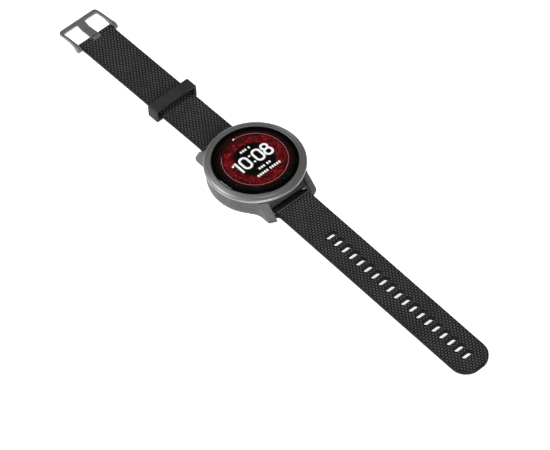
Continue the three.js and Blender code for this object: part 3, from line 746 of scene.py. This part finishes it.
def time_numerals():
    """The time, 10:08, in even round-ended strokes."""
    level = PANEL_TOP + 0.01
    width = 1.02
    low, high = -2.1, 3.9
    middle = (low + high) / 2
    tall = (high - low) / 2
    strokes = [stroke("one", [(-9.6, high - 1.0), (-8.05, high - 0.1), (-8.05, low)], width, level)]
    for x in (-4.35, 2.5):
        oval = shifted(rounded_rectangle(1.75, tall, 1.65), x, middle)
        strokes.append(stroke("nought", oval, width, level, looped=True))
    upper = shifted(rounded_rectangle(1.4, 1.4, 1.3), 7.1, high - 1.4)
    lower = shifted(rounded_rectangle(1.7, 1.62, 1.5), 7.1, low + 1.62)
    strokes.append(stroke("eight_top", upper, width, level, looped=True))
    strokes.append(stroke("eight_low", lower, width, level + 0.001, looped=True))
    for y in (2.75, -0.95):
        strokes.append(stroke("colon", [(-0.9, y), (-0.8, y)], 0.95, level))
    return joined("time_numerals", strokes)


def block_row(x, y, words):
    """A row of small plain blocks, in groups, where a watch would write a date or a count."""
    block, gap, space = 0.86, 0.32, 0.75
    total = sum(n * (block + gap) for n in words) + (len(words) - 1) * space - gap
    at = x - total / 2
    blocks = []
    for count in words:
        for _ in range(count):
            path = [(at + block / 2, y - 0.2), (at + block / 2, y + 0.2)]
            blocks.append(stroke("block", path, block, PANEL_TOP + 0.01))
            at += block + gap
        at += space
    return blocks


def face_marks():
    white = lit_mark("white_mark_finish", (0.95, 0.95, 0.95))
    rows = block_row(0.1, 6.5, (3, 1)) + block_row(0.8, -5.1, (3, 2)) + block_row(0.8, -7.9, (5, 5))
    noon = math.radians(89)
    start = (14.0 * math.cos(noon), 14.0 * math.sin(noon))
    rows.append(stroke("noon_dot", [start, (start[0] + 0.05, start[1])], 0.75, PANEL_TOP + 0.02))
    pink = lit_mark("arc_mark_finish", (0.34, 0.13, 0.11))
    path = arc(0, 0, 13.95, math.radians(87), math.radians(134 - 360), 220)
    parts = [(time_numerals(), white), (joined("small_marks", rows), white)]
    parts.append((stroke("goal_arc", path, 0.24, PANEL_TOP + 0.01), pink))
    for part, finish in parts:
        part.data.transform(Matrix.Translation((PICTURE_SHIFT[0] * MM, PICTURE_SHIFT[1] * MM, 0)))
        dressed(part, "case", "screen", finish)


def screw_spots():
    turns = [(k + 0.5) * QUARTER for k in range(4)]
    return [(SCREW_CIRCLE * math.cos(a), SCREW_CIRCLE * math.sin(a)) for a in turns]


CONTACT_Y = -12.4
CONTACT_XS = [(k - 1.5) * 2.5 for k in range(4)]


def way_through(x, y):
    """The round way in the cover that a screw or a contact passes through."""
    profile = [(0, 1.2), (0.8, 1.2), (0.8, 3), (0, 3)]
    return spun("way", profile, 40, Matrix.Translation((x, y, 0)))


def rear_cover():
    corners = [
        (8.75, 1.4, 0), (8.75, CASE_BOTTOM, 0.12), (17.6, CASE_BOTTOM, 0.25),
        (17.9, 1.2, 0.2), (17.9, COVER_TOP, 0.05), (8.75, COVER_TOP, 0.05), (8.75, 1.4, 0),
    ]
    cover = spun_ring("rear_cover_plate", filleted(corners)[:-1], 224)
    tools = []
    for x, y in screw_spots():
        place = Matrix.Translation((x, y, 0))
        sink = filleted([(0, 0.5, 0), (1.32, 0.5, 0), (1.2, 1.05, 0.1), (1.2, 1.5, 0.05), (0, 1.5, 0)])
        tools.append(spun("sink", sink, 48, place))
        tools.append(way_through(x, y))
    port = shifted(rounded_rectangle(5.4, 1.8, 1.2), 0, CONTACT_Y)
    tools.append(prism("port", port, 0.2, 1.4))
    tools += [way_through(x, CONTACT_Y) for x in CONTACT_XS]
    combined(cover, "DIFFERENCE", *tools)
    dressed(cover, "case", "case_resin", RESIN, "rear_cover", crease=30)


def sensor_window():
    corners = [
        (0, 0, 0), (6.2, 0, 0.8), (7.4, 0.25, 0.5), (8.2, 0.7, 0.5), (8.55, 1.2, 0.3),
        (8.55, COVER_TOP + 0.05, 0.05), (9.4, COVER_TOP + 0.05, 0.05), (9.4, 2.5, 0.05),
        (7.6, 2.5, 0.05), (7.6, 1.3, 0.1), (0, 1.3, 0),
    ]
    lens = spun("sensor_lens", filleted(corners, 6), 192)
    dressed(lens, "case", "sensor_lens", LENS, "sensor_window")


def case_screws():
    """Countersunk screws, each with a six-lobed drive."""
    lobes = []
    for k in range(72):
        turn = FULL_TURN * k / 72
        reach = 0.5 + 0.09 * math.cos(6 * turn)
        lobes.append((reach * math.cos(turn), reach * math.sin(turn)))
    for k, (x, y) in enumerate(screw_spots(), 1):
        place = Matrix.Translation((x, y, 0))
        corners = [
            (0, 0.95, 0), (0.85, 0.95, 0.1), (1.05, 1.12, 0.08), (1.05, 1.45, 0.05),
            (0.6, 1.45, 0.05), (0.6, 3.3, 0.1), (0, 3.3, 0),
        ]
        screw = spun(f"rear_screw_{k}", filleted(corners), 48, place)
        combined(screw, "DIFFERENCE", prism("drive", lobes, 0.5, 1.25, place))
        dressed(screw, "case", "small_steel", BAR_STEEL, f"case_screw_{k}")


def charge_contacts():
    for k, x in enumerate(CONTACT_XS, 1):
        corners = [(0, 1.15, 0), (0.45, 1.18, 0.2), (0.6, 1.4, 0.12), (0.6, 2.6, 0.05), (0, 2.6, 0)]
        pin = spun(f"contact_pin_{k}", filleted(corners, 5), 40, Matrix.Translation((x, CONTACT_Y, 0)))
        dressed(pin, "case", "contact_gold", GOLD, f"charge_contact_{k}")


def button():
    """A pill-shaped cap with a crowned face, on its stem."""
    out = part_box("button_cap")[1].x / MM
    crown = 0.45
    steps = [(19.9, -0.06), (20.0, 0.0)]
    for a in np.linspace(0, QUARTER, 8):
        steps.append((out - crown + crown * math.sin(a), -crown * (1 - math.cos(a))))
    rings = [[(x, y, z) for y, z in button_outline(inset)] for x, inset in steps]
    cap = swept("button_key", rings)
    combined(cap, "UNION", rod("stem", 0.7, 16.4, 20.1, 0, BUTTON_Z))
    dressed(cap, "button", "bezel_steel", BUTTON_STEEL, "button_cap")


# ---- straps ----
def strap_place(side, fall):
    """Where a strap half's own frame lies in the row's frame."""
    turn = 0 if side > 0 else HALF_TURN
    place = Matrix.Translation((0, side * BAR_Y, BAR_Z))
    return place @ Matrix.Rotation(turn, 4, "Z") @ Matrix.Rotation(-math.atan(fall), 4, "X")


LONG_PLACE = strap_place(-1, LONG_FALL)
SHORT_PLACE = strap_place(1, SHORT_FALL)


def ease(value, low, high):
    """A smooth step from 0 at low to 1 at high."""
    t = np.clip((value - low) / (high - low), 0, 1)
    return t * t * (3 - 2 * t)


def weave(x, s):
    """Height of the moulded weave, 0 in its valleys to 1 on its crests.

    Long crests lie across the strap in staggered rows, and short ones stand between them."""
    best = np.zeros(np.broadcast(x, s).shape)
    row = np.floor(s / WEAVE_ROW)
    for step in (-1, 0, 1):
        index = row + step
        up = (s - (index + 0.5) * WEAVE_ROW) / WEAVE_ROW
        shift = 0.5 * np.mod(index, 2)
        over = np.mod(x / WEAVE_PITCH + shift, 1) - 0.5
        under = np.mod(x / WEAVE_PITCH + shift + 0.5, 1) - 0.5
        crest = np.sqrt(np.clip(1 - (over / LONG_CREST[0]) ** 2 - (up / LONG_CREST[1]) ** 2, 0, 1))
        short = np.sqrt(np.clip(1 - (under / SHORT_CREST[0]) ** 2 - (up / SHORT_CREST[1]) ** 2, 0, 1))
        best = np.maximum(best, np.maximum(crest, SHORT_CREST_HEIGHT * short))
    return best


def near_slots(x, s):
    """Distance from the rim of the nearest buckle slot."""
    index = np.clip(np.round((s - SLOT_FIRST) / SLOT_PITCH), 0, SLOT_COUNT - 1)
    along = s - (SLOT_FIRST + index * SLOT_PITCH)
    straight = SLOT_HALF_LENGTH - SLOT_HALF_WIDTH
    return np.hypot(np.maximum(np.abs(x) - straight, 0), along) - SLOT_HALF_WIDTH


def root_top(s):
    """Upper outline of a strap's side view near its root."""
    middle = STRAP_TOP - ROOT_RADIUS
    return middle + math.sqrt(max(0, ROOT_RADIUS**2 - s * s)) if s < 0 else STRAP_TOP


def root_bottom(s):
    """Lower outline: the round root, then an easing up to the strap's underside."""
    middle = STRAP_TOP - ROOT_RADIUS
    leave = 1.9
    if s < leave:
        return middle - math.sqrt(max(0, ROOT_RADIUS**2 - s * s))
    start = middle - math.sqrt(ROOT_RADIUS**2 - leave**2)
    return start + (STRAP_BOTTOM - start) * float(ease(s, leave - 0.9, 4.0))


def strap_ring(s, half, low, high, columns, under_columns, relief):
    """One cross-section of a strap: its woven face, rounded edges and plain underside."""
    corner = min(0.5, 0.45 * (high - low), 0.5 * half)
    flat = half - corner
    xs = np.linspace(-flat, flat, columns)
    face = high + relief(xs, s) if relief else np.full(columns, high)
    right = [(flat + corner * math.sin(a), high - corner * (1 - math.cos(a))) for a in (0.5, 1.0, 1.35)]
    right += [(flat + corner * math.sin(a), low + corner * (1 - math.cos(a))) for a in (1.35, 1.0, 0.5)]
    left = [(-x, z) for x, z in right[::-1]]
    under = [(x, low) for x in np.linspace(flat, -flat, under_columns)]
    ring = [*zip(xs, face), *right, *under, *left]
    return [(x, s, z) for x, z in ring]


def strap_solid(name, place, stations, half_at, low_at, high_at, relief):
    columns, under_columns = 97, 25
    rings = []
    for s in stations:
        rings.append(strap_ring(s, half_at(s), low_at(s), high_at(s), columns, under_columns, relief))
    return swept(name, rings, place)


def root_stations():
    """Close steps round the root's back, then up to where the weave starts."""
    back = [-ROOT_RADIUS * math.cos(a) for a in np.linspace(0.08, QUARTER, 14)]
    return back + list(np.arange(0.2, WEAVE_START, 0.2))


def root_tools(place):
    """The spring bar's bore, and the slot that its lever slides in."""
    bore = rod("bore", BORE_RADIUS, -10, 10, place=place)
    lever = prism("lever_slot", rounded_rectangle(1.5, 0.55, 0.5), 0, 4)
    lever.data.transform(Matrix.Translation((LEVER_X * MM, 0, 0)))
    turned = place.copy()
    turned.translation = place.translation * MM
    lever.data.transform(turned @ Matrix.Rotation(LEVER_TILT, 4, "X"))
    return [bore, lever]


def long_strap():
    straight_end = LONG_LENGTH - TIP_LENGTH
    body = np.arange(WEAVE_START, straight_end, WEAVE_ROW / 6)
    tip = straight_end + TIP_LENGTH * np.sin(np.linspace(0, 0.99 * QUARTER, 56))

    def half_at(s):
        along = max(0.0, s - straight_end) / TIP_LENGTH
        return STRAP_HALF * (1 - along**TIP_POWER) ** (1 / TIP_POWER)

    def thin(s):
        past = max(0, s - (LONG_LENGTH - 0.55)) / 0.55
        return math.sqrt(max(0.02, 1 - past**2))

    def high_at(s):
        return STRAP_MIDDLE + (root_top(s) - STRAP_MIDDLE) * thin(s)

    def low_at(s):
        return STRAP_MIDDLE + (root_bottom(s) - STRAP_MIDDLE) * thin(s)

    def relief(x, s):
        edge = ease(half_at(s) - np.abs(x), *EDGE_PLAIN) * ease(LONG_LENGTH - s, 0.5, 1.0)
        rim = ease(near_slots(x, s), 0.12, 0.5)
        start = ease(s, WEAVE_START, WEAVE_START + 0.3)
        return -WEAVE_DEPTH * start * (1 - edge * rim * weave(x, s))

    stations = [*root_stations(), *body, *tip]
    strap = strap_solid("strap_long_woven", LONG_PLACE, stations, half_at, low_at, high_at, relief)
    slots = []
    slot = rounded_rectangle(SLOT_HALF_LENGTH, SLOT_HALF_WIDTH, SLOT_HALF_WIDTH - 0.02, 8)
    for k in range(SLOT_COUNT):
        slots.append(prism("slot", shifted(slot, 0, SLOT_FIRST + k * SLOT_PITCH), -2, 3, LONG_PLACE))
    combined(strap, "DIFFERENCE", *slots, *root_tools(LONG_PLACE))
    dressed(strap, "long_half", "strap_silicone", LONG_SILICONE, "strap_long", crease=50)


def short_strap():
    nose, lead = STRAP_END[1]
    body = np.arange(WEAVE_START, SHORT_LENGTH - 1.4, WEAVE_ROW / 6)
    last = list(np.arange(SHORT_LENGTH - 1.4, SHORT_LENGTH + lead, 0.1))
    last += [SHORT_LENGTH + lead + nose * math.sin(a) for a in np.linspace(0.05, 1.5, 16)]

    def around(s):
        past = s - SHORT_LENGTH
        return max(math.sqrt(max(0.0, radius**2 - (past - middle) ** 2)) for radius, middle in STRAP_END)

    def high_at(s):
        end = STRAP_MIDDLE + around(s)
        return end if s > SHORT_LENGTH else max(root_top(s), end)

    def low_at(s):
        end = STRAP_MIDDLE - around(s)
        return end if s > SHORT_LENGTH else min(root_bottom(s), end)

    def relief(x, s):
        edge = ease(STRAP_HALF - np.abs(x), *EDGE_PLAIN)
        start = ease(s, WEAVE_START, WEAVE_START + 0.3)
        stop = ease(SHORT_LENGTH + 1.3 - s, 0.0, 0.4)
        return -WEAVE_DEPTH * start * stop * (1 - edge * weave(x, s))

    stations = [*root_stations(), *body, *last]
    shape = (lambda s: STRAP_HALF, low_at, high_at, relief)
    strap = strap_solid("strap_short_woven", SHORT_PLACE, stations, *shape)
    notch = rounded_rectangle(2.5, 2.5, 0.35)
    tools = [
        prism("notch", shifted(notch, 0, SHORT_LENGTH + 0.6), -3, 4, SHORT_PLACE),
        rod("buckle_bore", BUCKLE_BORE, -10, 10, SHORT_LENGTH, STRAP_MIDDLE, SHORT_PLACE),
    ]
    combined(strap, "DIFFERENCE", *tools, *root_tools(SHORT_PLACE))
    dressed(strap, "short_half", "strap_silicone", SHORT_SILICONE, "strap_short", crease=50)


def keeper():
    """A moulded loop: a soft-edged band carried round a rounded rectangle."""
    half_wall = KEEPER_WALL / 2
    middle = STRAP_MIDDLE + KEEPER_LIFT
    path = rounded_rectangle(*(size - half_wall for size in KEEPER_OUTSIDE), 0.35, 12)
    section = rounded_rectangle(KEEPER_HALF_LENGTH, half_wall, 0.3, 5)
    rings = []
    for k, (x, z) in enumerate(path):
        before, after = Vector(path[k - 1]), Vector(path[(k + 1) % len(path)])
        along = (after - before).normalized()
        out = Vector((along.y, -along.x))
        rings.append([(x + out.x * q, KEEPER_AT + p, middle + z + out.y * q) for p, q in section])
    loop = swept("keeper_band", rings, SHORT_PLACE, looped=True)
    dressed(loop, "keeper", "keeper_silicone", KEEPER_SILICONE, "keeper_loop", crease=60)


# ---- buckle ----
BUCKLE_PLACE = SHORT_PLACE @ Matrix.Translation((0, SHORT_LENGTH, STRAP_MIDDLE))


def mirrored(half):
    """An outline from its right half."""
    return half + [(-x, y) for x, y in half[::-1]]


def buckle_frame():
    """Thin arched arms, stepped out to the bar's bosses, and a wider front bar."""
    wide, outer, inner, reach, window = 10.9, 10.4, 9.3, 13.6, 11.2
    outside = [(wide, -2), *bend((wide, 0.6), (outer - 0.1, 3.5), (outer, 7))]
    outside += bend((outer, reach - 2.2), (outer, reach), (outer - 2.6, reach))
    inside = [(9.2, -2), *bend((9.2, 1.6), (inner, 3.5), (inner, 6))]
    inside += bend((inner, window - 1), (inner, window), (inner - 1.2, window))
    plan = mirrored(outside) + mirrored(inside)[::-1]
    side = [
        *bend((0, 1.5), (6, 1.9), (11.0, 0.65)),
        *bend((reach - 0.7, 0.4), (reach, 0.25), (reach, -0.15)),
        *bend((reach, -0.15), (reach, -0.75), (reach - 0.8, -0.75))[1:],
        *bend((11.0, -0.5), (6, 0.5), (2.2, -0.75)),
        *bend((2.2, -0.75), (1.2, -1.5), (0, -1.5))[1:],
        *arc(0, 0, 1.5, -QUARTER, -3 * QUARTER, 20)[1:-1],
    ]
    body = prism("buckle_ring", plan, -3, 3, BUCKLE_PLACE)
    combined(body, "INTERSECT", prism("buckle_side", side, -12.5, 12.5, BUCKLE_PLACE @ ALONG_X))
    rest = prism("rest", shifted(rounded_rectangle(2.3, 1.6, 0.3), 0, window + 0.3), 0.1, 3, BUCKLE_PLACE)
    combined(body, "DIFFERENCE", rest)
    softened(body, 0.09, 3)
    combined(body, "DIFFERENCE", rod("tip_hole", TIP_BORE, -10.4, 10.4, place=BUCKLE_PLACE))
    dressed(body, "buckle", "buckle_steel", BUCKLE_STEEL, "buckle_frame", crease=60)


def buckle_tang():
    """A strip rolled around the bar, dipping behind it, then up onto the front bar's rest."""
    half, reach = 1.95, 12.7
    shoulder = reach - 0.9
    right = [(half, -2), (half, shoulder), *bend((half, shoulder), (half, reach), (0, reach))[1:]]
    plan = right + [(-x, y) for x, y in right[-2::-1]]
    side = [
        (1.28, 0.42),
        *bend((1.6, 1.0), (3.8, 0.9), (6.0, 0.45)),
        *bend((6.0, 0.45), (7.2, 0.2), (8.2, 0.6))[1:],
        *bend((8.2, 0.6), (9.3, 1.1), (10.4, 1.15))[1:],
        *bend((reach - 0.7, 1.1), (reach, 1.05), (reach, 0.6)),
        (reach - 0.3, 0.4),
        *bend((10.4, 0.4), (9.4, 0.3), (8.5, -0.15)),
        *bend((8.5, -0.15), (7.2, -0.7), (6.0, -0.45))[1:],
        *bend((6.0, -0.45), (3.8, 0.0), (1.3, -0.36))[1:],
        *arc(0, 0, 1.35, -0.27, -1.9 * HALF_TURN, 48)[1:],
    ]
    body = prism("tang_blade", plan, -3, 3, BUCKLE_PLACE)
    combined(body, "INTERSECT", prism("tang_side", side, -4, 4, BUCKLE_PLACE @ ALONG_X))
    softened(body, 0.05, 3)
    combined(body, "DIFFERENCE", rod("hub_bore", BUCKLE_BORE, -4, 4, place=BUCKLE_PLACE))
    dressed(body, "tang", "buckle_steel", BUCKLE_STEEL, "buckle_tang", crease=60)


# ---- spring bars ----
def spring_bar(prefix, body, release, place, half_tube, reach, radius, lever):
    """A turned tube with one fixed tip, and the sprung plunger at its other end."""
    bore = radius - 0.22
    corners = [
        (0, reach, 0), (0.38, reach, 0.2), (0.38, half_tube, 0.05),
        (radius, half_tube, 0.15), (radius, half_tube - 0.5, 0.05),
        (radius - 0.08, half_tube - 0.6, 0.05), (radius - 0.08, half_tube - 0.9, 0.05),
        (radius, half_tube - 1.0, 0.05), (radius, -half_tube, 0.1),
        (bore, -half_tube, 0.05), (bore, 1, 0), (0, 1, 0),
    ]
    tube = spun(prefix + "_sleeve", filleted(corners), 48, place @ AXIS_TO_X)
    pin = spun(
        prefix + "_pin",
        filleted([(0, -reach, 0), (0.33, -reach, 0.2), (0.33, -3, 0.1), (0, -3, 0)]),
        32,
        place @ AXIS_TO_X,
    )
    if lever:
        tilt = place @ Matrix.Rotation(LEVER_TILT, 4, "X")
        slot = shifted(rounded_rectangle(1.4, 0.45, 0.4), LEVER_X, 0)
        combined(tube, "DIFFERENCE", prism("sleeve_slot", slot, 0, 2, tilt))
        arm = prism("arm", shifted(rounded_rectangle(0.3, 0.25, 0.1, 4), KNOB_X, 0), 0, 2.3, tilt)
        knob = knob_solid(tilt)
        combined(pin, "UNION", arm, knob)
    dressed(tube, body, "small_steel", BAR_STEEL, prefix + "_tube")
    dressed(pin, release, "small_steel", BAR_STEEL, prefix + "_plunger")


def knob_solid(place):
    """The quick-release knob, a small crowned block."""
    rings = []
    low, high = STRAP_TOP + 0.35, STRAP_TOP + 0.95
    crown = 0.25
    steps = [(low, 0.1), (low + 0.08, 0), (high - crown, 0)]
    for a in np.linspace(0.3, QUARTER, 5):
        steps.append((high - crown + crown * math.sin(a), crown * (1 - math.cos(a))))
    for z, inset in steps:
        outline = rounded_rectangle(0.75 - inset, 0.65 - inset, 0.35 - 0.3 * inset, 6)
        rings.append([(x + KNOB_X, y, z) for x, y in outline])
    return swept("knob", rings, place)


# ---- making the watch ----
def build_watch():
    case_body()
    bezel()
    glass()
    display()
    face_marks()
    rear_cover()
    sensor_window()
    case_screws()
    charge_contacts()
    button()
    long_strap()
    short_strap()
    keeper()
    buckle_frame()
    buckle_tang()
    spring_bar("long_bar", "long_half", "long_release", LONG_PLACE, 9.4, 11.1, 0.75, True)
    spring_bar("short_bar", "short_half", "short_release", SHORT_PLACE, 9.4, 11.1, 0.75, True)
    spring_bar("buckle_bar", "buckle", "buckle_release", BUCKLE_PLACE, 8.9, 10.2, 0.62, False)


INNER_FINISHES = {
    "seal_rubber": SEAL,
    "inner_plastic": INNER,
    "contact_gold": GOLD,
    "circuit_board": BOARD,
    "foil_metal": FOIL,
    "sensor_light": DIODE,
    "small_steel": BAR_STEEL,
}


def dress_inner_nodes():
    """Finishes the CAD nodes that stay: what is sealed inside, and the small clips and springs."""
    slots = {row["node"]: row["material_slot"] for row in frame["record"]["subparts"]}
    for name, node in frame["nodes"].items():
        if node.hide_render:
            continue
        node.data.materials.clear()
        node.data.materials.append(INNER_FINISHES[slots[name]])


# ---- stage ----
def softbox(name, direction, distance, size, power):
    light = bpy.data.lights.new(name, "AREA")
    light.shape = "DISK"
    light.size = size
    light.energy = power
    lamp = bpy.data.objects.new(name, light)
    bpy.context.scene.collection.objects.link(lamp)
    way = Vector(direction).normalized()
    lamp.location = way * distance
    lamp.rotation_euler = way.to_track_quat("Z", "Y").to_euler()


def stage():
    size, low = 6.0, -0.0001
    corners = [(-size, -size, low), (size, -size, low), (size, size, low), (-size, size, low)]
    mesh = bpy.data.meshes.new("floor")
    mesh.from_pydata(corners, [], [(0, 1, 2, 3)])
    floor = bpy.data.objects.new("floor", mesh)
    bpy.context.scene.collection.objects.link(floor)
    lit = {"Emission_Color": (1, 1, 1, 1), "Emission_Strength": 0.86}
    paper = Finish("floor_finish", Roughness=0.9, Base_Color=grey(0.8), **lit)
    mesh.materials.append(paper.material)
    world = bpy.data.worlds.new("studio")
    bpy.context.scene.world = world
    world.use_nodes = True
    world.node_tree.nodes["Background"].inputs["Color"].default_value = (1, 1, 1, 1)
    world.node_tree.nodes["Background"].inputs["Strength"].default_value = 0.08
    softbox("key", (-0.55, 0.5, 0.95), 1.4, 0.5, 14)
    softbox("front", (-0.4, -1.0, 0.75), 1.4, 0.7, 15)
    bpy.context.scene.view_settings.view_transform = "Standard"


def camera():
    azimuth, elevation, roll = (math.radians(a) for a in (-39.707, 51.049, -2.377))
    distance = 1.8943
    aim = Vector((-0.01107, -0.02453, 0))
    flat = math.cos(elevation)
    back = Vector((math.sin(azimuth) * flat, -math.cos(azimuth) * flat, math.sin(elevation)))
    level = Vector((math.cos(azimuth), math.sin(azimuth), 0))
    rise = back.cross(level)
    right = level * math.cos(roll) + rise * math.sin(roll)
    up = rise * math.cos(roll) - level * math.sin(roll)
    lens = bpy.data.cameras.new("camera")
    lens.lens = 299.9
    lens.sensor_width = 36
    lens.clip_end = 20
    eye = bpy.data.objects.new("camera", lens)
    bpy.context.scene.collection.objects.link(eye)
    turn = Matrix((right, up, back)).transposed().to_4x4()
    eye.matrix_world = Matrix.Translation(aim + back * distance) @ turn
    bpy.context.scene.camera = eye


camera()
stage()
build_watch()
dress_inner_nodes()
